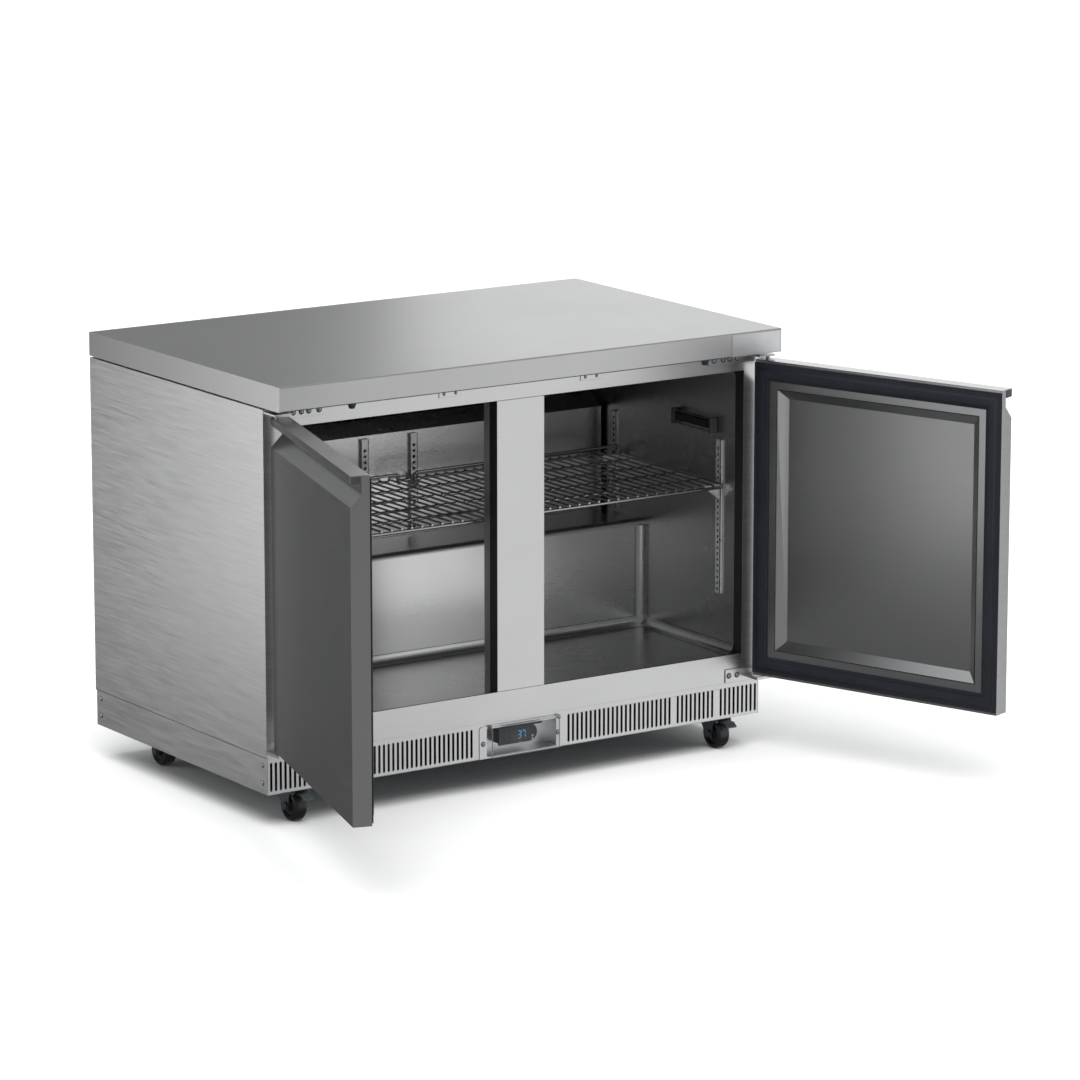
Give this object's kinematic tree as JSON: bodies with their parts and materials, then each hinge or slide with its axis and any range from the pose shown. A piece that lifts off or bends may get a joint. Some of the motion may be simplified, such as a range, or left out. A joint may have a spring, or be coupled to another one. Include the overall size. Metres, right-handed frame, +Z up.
{
  "type": "under counter fridge",
  "caption": "Stainless under counter fridge on castors: worktop, hinged doors with gaskets, stepped liner, wire shelves, slotted base with a small controller, cooling system behind",
  "frame": {"origin": "floor level, under the middle of the box that holds the part with its doors standing open", "axes": "+X runs to the right seen from the front, +Y runs from the doors to the back, +Z is up"},
  "size_m": [1.5898, 1.316, 0.915],
  "materials": {
    "stainless": "fine brushed grain",
    "liner_steel": "darker brushed grain",
    "shelf_wire": "plated wire",
    "zinc": "blue-grey zinc plating",
    "aluminium": "satin",
    "painted_black": "semi-gloss",
    "black_plastic": "fine texture",
    "foam": "rigid foam",
    "gasket_rubber": "matte",
    "wheel_rubber": "satin",
    "clear_plastic": "clear moulded plastic"
  },
  "bodies": {
    "cabinet": {"worktop": "stainless", "side_panel_left": "stainless", "side_panel_right": "stainless", "top_rail": "stainless", "bottom_rail": "stainless", "rear_shell": "stainless", "machine_bay_wall": "liner_steel", "mullion": "stainless", "breaker_left": "black_plastic", "breaker_right": "black_plastic", "liner": "liner_steel", "insulation": "foam", "base_skirt_left": "stainless", "base_skirt_right": "stainless", "front_grille": "stainless", "base_pan": "zinc", "rear_louvre_cover": "stainless", "cable_gland": "black_plastic", "control_box": "stainless", "controller": "black_plastic", "compressor": "painted_black", "condenser_coil": "aluminium", "condenser_fan_motor": "painted_black", "evaporator_cover": "liner_steel", "condensate_pan": "black_plastic", "evaporator_coil": "aluminium", "evaporator_fan_motor": "painted_black", "pilaster_left_front": "liner_steel", "pilaster_left_rear": "liner_steel", "pilaster_right_front": "liner_steel", "pilaster_right_rear": "liner_steel", "hinge_bracket_top_left": "zinc", "hinge_bracket_top_right": "zinc", "hinge_bracket_bottom_left": "zinc", "hinge_bracket_bottom_right": "zinc"},
    "door_left": {"door_skin_left": "stainless", "door_foam_left": "foam", "door_inner_panel_left": "liner_steel", "door_gasket_left": "gasket_rubber"},
    "door_right": {"door_skin_right": "stainless", "door_foam_right": "foam", "door_inner_panel_right": "liner_steel", "door_gasket_right": "gasket_rubber"},
    "castor_left_front": {"castor_fork_left_front": "zinc"},
    "wheel_left_front": {"castor_wheel_left_front": "wheel_rubber"},
    "castor_left_rear": {"castor_fork_left_rear": "zinc"},
    "wheel_left_rear": {"castor_wheel_left_rear": "wheel_rubber"},
    "castor_right_front": {"castor_fork_right_front": "zinc"},
    "wheel_right_front": {"castor_wheel_right_front": "wheel_rubber"},
    "castor_right_rear": {"castor_fork_right_rear": "zinc"},
    "wheel_right_rear": {"castor_wheel_right_rear": "wheel_rubber"},
    "brake_left": {"brake_lever_left": "zinc"},
    "brake_right": {"brake_lever_right": "zinc"},
    "condenser_fan": {"condenser_fan_blade": "aluminium"},
    "evaporator_fan": {"evaporator_fan_blade": "black_plastic"},
    "control_cover_flap": {"control_cover": "clear_plastic"},
    "button_up_key": {"button_up": "gasket_rubber"},
    "button_down_key": {"button_down": "gasket_rubber"},
    "shelf_left_tray": {"shelf_left": "shelf_wire"},
    "shelf_right_tray": {"shelf_right": "shelf_wire"}
  },
  "joints": [
    {"name": "door_left_hinge", "type": "hinge", "parent": "cabinet", "child": "door_left", "pos_m": [-0.61369, -0.08203, 0.5083], "axis": [0, 0, -1], "range_deg": [-106.7, 13.3]},
    {"name": "door_right_hinge", "type": "hinge", "parent": "cabinet", "child": "door_right", "pos_m": [0.58631, -0.08203, 0.5083], "axis": [0, 0, 1], "range_deg": [-109.5, 10.5]},
    {"name": "castor_left_front_swivel", "type": "hinge", "parent": "cabinet", "child": "castor_left_front", "pos_m": [-0.54069, 0.02197, 0.068], "axis": [0, 0, 1], "continuous": true},
    {"name": "castor_left_rear_swivel", "type": "hinge", "parent": "cabinet", "child": "castor_left_rear", "pos_m": [-0.54069, 0.54997, 0.068], "axis": [0, 0, 1], "continuous": true},
    {"name": "castor_right_front_swivel", "type": "hinge", "parent": "cabinet", "child": "castor_right_front", "pos_m": [0.51331, 0.02197, 0.068], "axis": [0, 0, 1], "continuous": true},
    {"name": "castor_right_rear_swivel", "type": "hinge", "parent": "cabinet", "child": "castor_right_rear", "pos_m": [0.51331, 0.54997, 0.068], "axis": [0, 0, 1], "continuous": true},
    {"name": "wheel_left_front_spin", "type": "hinge", "parent": "castor_left_front", "child": "wheel_left_front", "pos_m": [-0.54069, -0.00803, 0.03175], "axis": [1, 0, 0], "continuous": true},
    {"name": "wheel_left_rear_spin", "type": "hinge", "parent": "castor_left_rear", "child": "wheel_left_rear", "pos_m": [-0.54069, 0.51997, 0.03175], "axis": [1, 0, 0], "continuous": true},
    {"name": "wheel_right_front_spin", "type": "hinge", "parent": "castor_right_front", "child": "wheel_right_front", "pos_m": [0.51331, -0.00803, 0.03175], "axis": [1, 0, 0], "continuous": true},
    {"name": "wheel_right_rear_spin", "type": "hinge", "parent": "castor_right_rear", "child": "wheel_right_rear", "pos_m": [0.51331, 0.51997, 0.03175], "axis": [1, 0, 0], "continuous": true},
    {"name": "brake_left_press", "type": "hinge", "parent": "castor_left_front", "child": "brake_left", "pos_m": [-0.54069, -0.03003, 0.0625], "axis": [1, 0, 0], "range_deg": [0, 20]},
    {"name": "brake_right_press", "type": "hinge", "parent": "castor_right_front", "child": "brake_right", "pos_m": [0.51331, -0.03003, 0.0625], "axis": [1, 0, 0], "range_deg": [0, 20]},
    {"name": "condenser_fan_spin", "type": "hinge", "parent": "cabinet", "child": "condenser_fan", "pos_m": [0.19631, 0.48897, 0.2], "axis": [0, 1, 0], "continuous": true},
    {"name": "evaporator_fan_spin", "type": "hinge", "parent": "cabinet", "child": "evaporator_fan", "pos_m": [-0.01369, 0.53697, 0.745], "axis": [0, 1, 0], "continuous": true},
    {"name": "control_cover_flip", "type": "hinge", "parent": "cabinet", "child": "control_cover_flap", "pos_m": [-0.00519, -0.05123, 0.137], "axis": [-1, 0, 0], "range_deg": [0, 105]},
    {"name": "button_up_press", "type": "slide", "parent": "cabinet", "child": "button_up_key", "axis": [0, 1, 0], "range_m": [0, 0.0012], "stiffness_N_per_m": 60},
    {"name": "button_down_press", "type": "slide", "parent": "cabinet", "child": "button_down_key", "axis": [0, 1, 0], "range_m": [0, 0.0012], "stiffness_N_per_m": 60},
    {"name": "shelf_left_lift", "type": "slide", "parent": "cabinet", "child": "shelf_left_tray", "axis": [0, 0, 1], "range_m": [0, 0.09]},
    {"name": "shelf_right_lift", "type": "slide", "parent": "cabinet", "child": "shelf_right_tray", "axis": [0, 0, 1], "range_m": [0, 0.09]}
  ]
}
